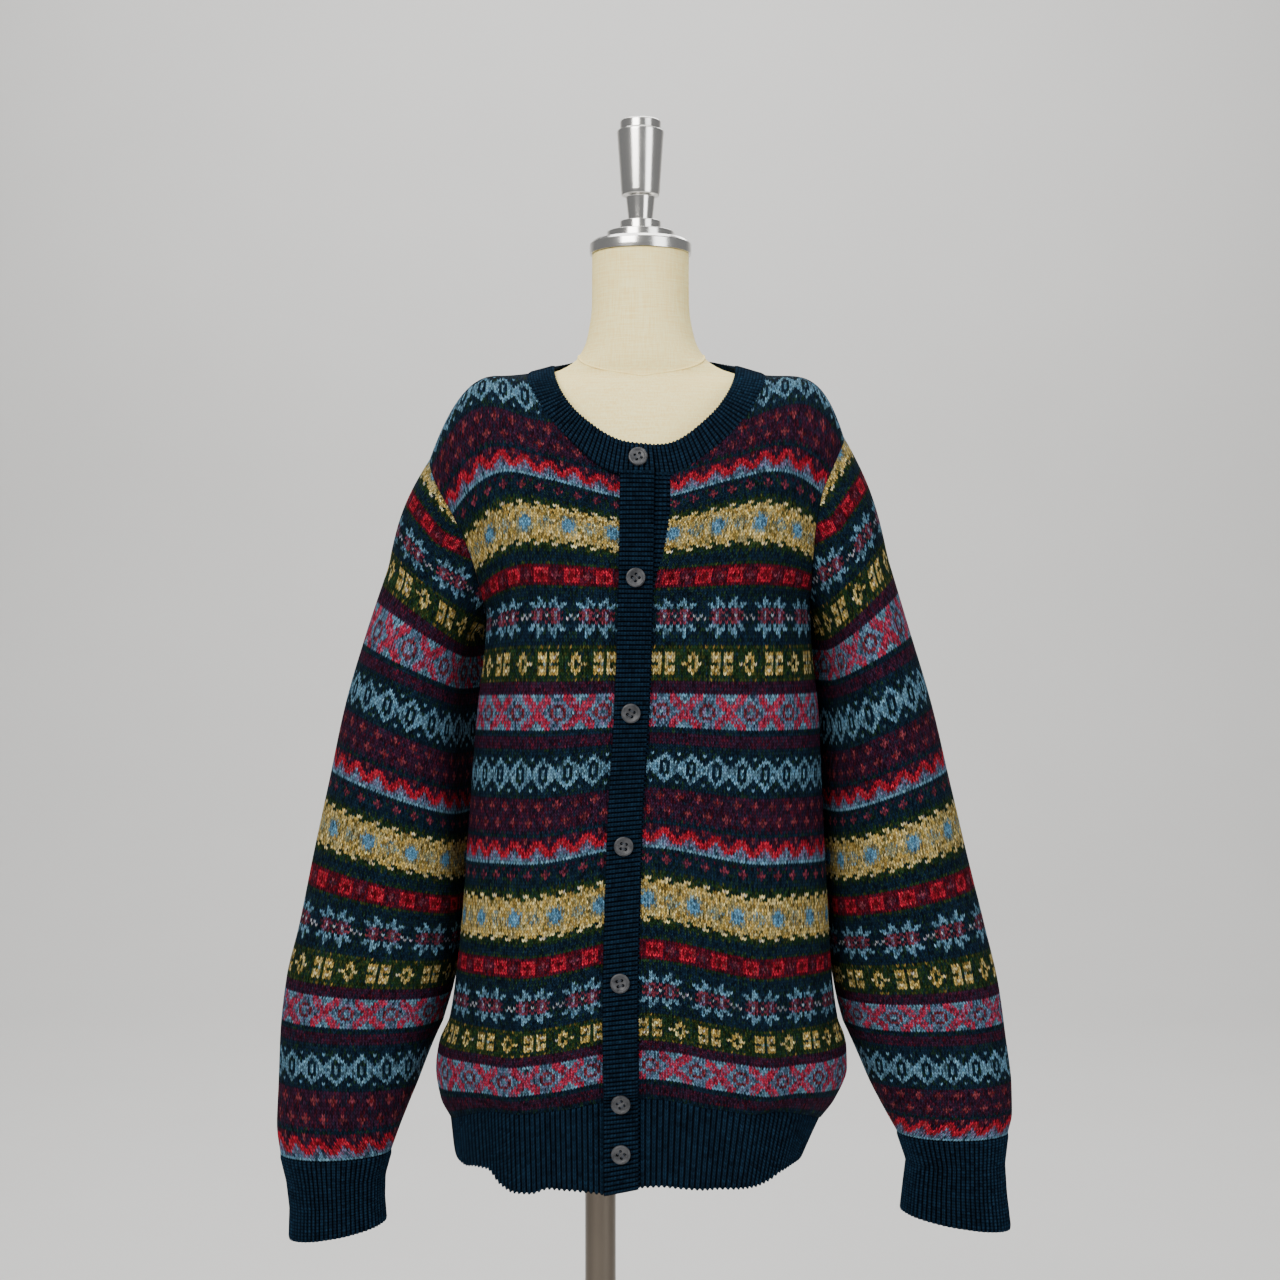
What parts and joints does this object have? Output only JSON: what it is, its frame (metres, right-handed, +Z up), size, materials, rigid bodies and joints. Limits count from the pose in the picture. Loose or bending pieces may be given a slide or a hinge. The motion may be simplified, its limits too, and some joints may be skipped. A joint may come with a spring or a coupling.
{
  "type": "wool cardigan on dress form stand",
  "caption": "Long-sleeved patterned wool cardigan with ribbed bands and buttons, worn by a limbless dress form on a pole with a round base.",
  "frame": {"origin": "centre of the base plate's underside, on the pole's axis", "axes": "+Z up, -Y to the front, +X to the wearer's left"},
  "size_m": [0.6165, 0.34, 1.539],
  "materials": {
    "patterned_knit": "stranded wool knit, matt",
    "navy_rib": "ribbed wool knit, matt",
    "button_grey": "satin",
    "cream_linen": "plain woven linen cover",
    "brushed_steel": "satin",
    "chrome": "polished"
  },
  "bodies": {
    "root": {"front_right": "patterned_knit", "front_left": "patterned_knit", "back": "patterned_knit", "sleeve_right": "patterned_knit", "sleeve_left": "patterned_knit", "cuff_right": "navy_rib", "cuff_left": "navy_rib", "hem_right": "navy_rib", "hem_left": "navy_rib", "hem_back": "navy_rib", "neckband": "navy_rib", "button_band": "navy_rib", "under_band": "navy_rib", "button_1": "button_grey", "button_2": "button_grey", "button_3": "button_grey", "button_4": "button_grey", "button_5": "button_grey", "button_6": "button_grey", "button_7": "button_grey", "form_torso": "cream_linen", "neck_cap": "brushed_steel", "finial": "brushed_steel", "base_plate": "brushed_steel", "pole": "chrome", "base_collar": "chrome"}
  },
  "joints": []
}
